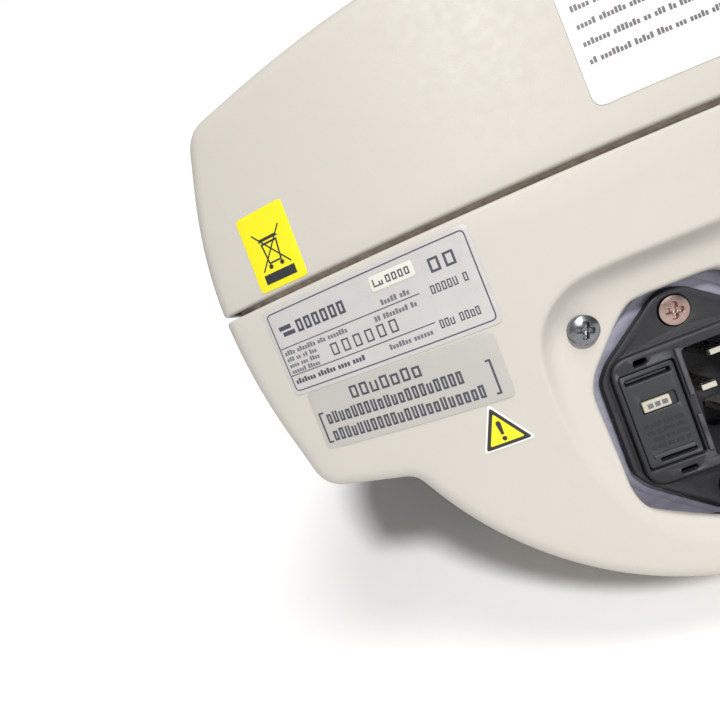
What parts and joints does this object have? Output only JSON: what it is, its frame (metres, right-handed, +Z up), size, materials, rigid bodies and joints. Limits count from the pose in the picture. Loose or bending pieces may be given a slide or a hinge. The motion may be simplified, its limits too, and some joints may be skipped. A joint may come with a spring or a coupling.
{
  "type": "auto chart projector",
  "caption": "Optician's chart projector on a low pan-and-tilt foot: two-piece casing, rear mains inlet with fuse drawer, round belly holding the chart disc, focusing lens in front.",
  "frame": {"origin": "on the table under the middle of the whole outline", "axes": "+Z up, -Y towards the screen that the lens faces, +Y to the rear with the mains inlet, +X to the projector's left"},
  "size_m": [0.1952, 0.2918, 0.1534],
  "materials": {
    "casing": "fine-grained warm white moulded plastic",
    "front_panel": "satin dark grey",
    "black_plastic": "satin black, fine moulded grain",
    "foam_seal": "matt black foam strip",
    "rubber": "matt",
    "cast_base": "satin grey paint on cast metal",
    "zinc_plate": "zinc-plated sheet, violet-grey",
    "lens_tube": "turned, dark anodised",
    "steel": "plain",
    "screw_chrome": "plated, Phillips recess",
    "brass": "plated contact brass",
    "silver_label": "silver-grey printed film",
    "yellow_label": "printed yellow film",
    "white_label": "white film",
    "ceramic": "unglazed",
    "glass": "clear polished",
    "mirror": "polished",
    "copper": "enamelled copper wire",
    "board": "green glass-fibre board",
    "cream_insert": "cream moulded insert",
    "ir_window": "deep red infrared-passing window",
    "pilot_green": "translucent green"
  },
  "bodies": {
    "base": {"base_plate": "cast_base", "foot_rear_left": "rubber", "foot_rear_right": "rubber", "foot_front_left": "rubber", "foot_front_right": "rubber", "swivel_post": "steel"},
    "turntable": {"turntable": "cast_base", "tilt_pin": "steel"},
    "tilt_knob": {"tilt_knob": "black_plastic"},
    "projector": {"tilt_hanger": "cast_base", "chassis": "zinc_plate", "lower_shell": "casing", "upper_cover": "casing", "seam_seal": "foam_seal", "front_bezel": "front_panel", "ir_window": "ir_window", "pilot_lamp": "pilot_green", "inlet_housing": "black_plastic", "pin_line": "brass", "pin_neutral": "brass", "pin_earth": "brass", "flange_screw_upper": "screw_chrome", "flange_screw_lower": "screw_chrome", "cover_screw_left": "screw_chrome", "cover_screw_right": "screw_chrome", "nameplate": "silver_label", "fuse_label": "silver_label", "side_label": "yellow_label", "round_label": "white_label", "caution_label": "yellow_label", "lamp_house": "zinc_plate", "lamp_socket": "ceramic", "lamp_bulb": "glass", "reflector": "mirror", "heat_filter": "glass", "condenser_lens": "glass", "fan_housing": "black_plastic", "optics_frame": "zinc_plate", "chart_motor": "steel", "mask_motor": "steel", "transformer_core": "steel", "transformer_coil": "copper", "main_board": "board", "lens_mount": "lens_tube", "switch_bezel": "black_plastic"},
    "fuse_drawer": {"fuse_drawer": "black_plastic", "fuse_upper": "glass", "fuse_lower": "glass", "voltage_window": "cream_insert"},
    "lamp_door": {"lamp_door": "casing"},
    "fan_rotor": {"fan_rotor": "black_plastic"},
    "chart_disc": {"chart_disc": "black_plastic"},
    "chart_pinion": {"chart_pinion": "brass"},
    "mask_disc": {"mask_disc": "black_plastic"},
    "mask_pinion": {"mask_pinion": "brass"},
    "lens_barrel": {"lens_barrel": "black_plastic", "front_lens": "glass", "rear_lens": "glass"},
    "focus_ring": {"focus_ring": "front_panel"},
    "power_rocker": {"power_rocker": "black_plastic"}
  },
  "joints": [
    {"name": "pan", "type": "hinge", "parent": "base", "child": "turntable", "pos_m": [0, -0.0171, 0.016], "axis": [0, 0, 1], "range_deg": [-45, 45]},
    {"name": "tilt", "type": "hinge", "parent": "turntable", "child": "projector", "pos_m": [0, -0.0171, 0.034], "axis": [1, 0, 0], "range_deg": [-4, 10]},
    {"name": "tilt_lock", "type": "hinge", "parent": "turntable", "child": "tilt_knob", "pos_m": [0.035, -0.0171, 0.034], "axis": [1, 0, 0], "range_deg": [-60, 60]},
    {"name": "fuse_pull", "type": "slide", "parent": "projector", "child": "fuse_drawer", "axis": [0, 1, 0], "range_m": [0, 0.018]},
    {"name": "door_hinge", "type": "hinge", "parent": "projector", "child": "lamp_door", "pos_m": [0, 0.0629, 0.1542], "axis": [1, 0, 0], "range_deg": [0, 100]},
    {"name": "fan_spin", "type": "hinge", "parent": "projector", "child": "fan_rotor", "pos_m": [0.0567, 0.1009, 0.112], "axis": [1, 0, 0], "continuous": true},
    {"name": "chart_spin", "type": "hinge", "parent": "projector", "child": "chart_disc", "pos_m": [0, 0.0719, 0.074], "axis": [0, 1, 0], "continuous": true},
    {"name": "chart_pinion_spin", "type": "hinge", "parent": "projector", "child": "chart_pinion", "pos_m": [0.05934, 0.0719, 0.0956], "axis": [0, 1, 0], "continuous": true},
    {"name": "mask_spin", "type": "hinge", "parent": "projector", "child": "mask_disc", "pos_m": [-0.01905, 0.0639, 0.106], "axis": [0, 1, 0], "continuous": true},
    {"name": "mask_pinion_spin", "type": "hinge", "parent": "projector", "child": "mask_pinion", "pos_m": [-0.05036, 0.06365, 0.12408], "axis": [0, 1, 0], "continuous": true},
    {"name": "focus_turn", "type": "hinge", "parent": "projector", "child": "focus_ring", "pos_m": [0, -0.1291, 0.117], "axis": [0, 1, 0], "range_deg": [-90, 90]},
    {"name": "lens_travel", "type": "slide", "parent": "projector", "child": "lens_barrel", "axis": [0, 1, 0], "range_m": [-0.003, 0.003]},
    {"name": "power_rock", "type": "hinge", "parent": "projector", "child": "power_rocker", "pos_m": [-0.08635, -0.07176, 0.08255], "axis": [-0.1826, -0.0214, 0.983], "range_deg": [0, 12]}
  ],
  "couplings": [
    {"joint": "chart_pinion_spin", "follows": "chart_spin", "ratio": -5},
    {"joint": "mask_pinion_spin", "follows": "mask_spin", "ratio": -3},
    {"joint": "focus_turn", "follows": "lens_travel", "rad_per_m": 523.6}
  ]
}
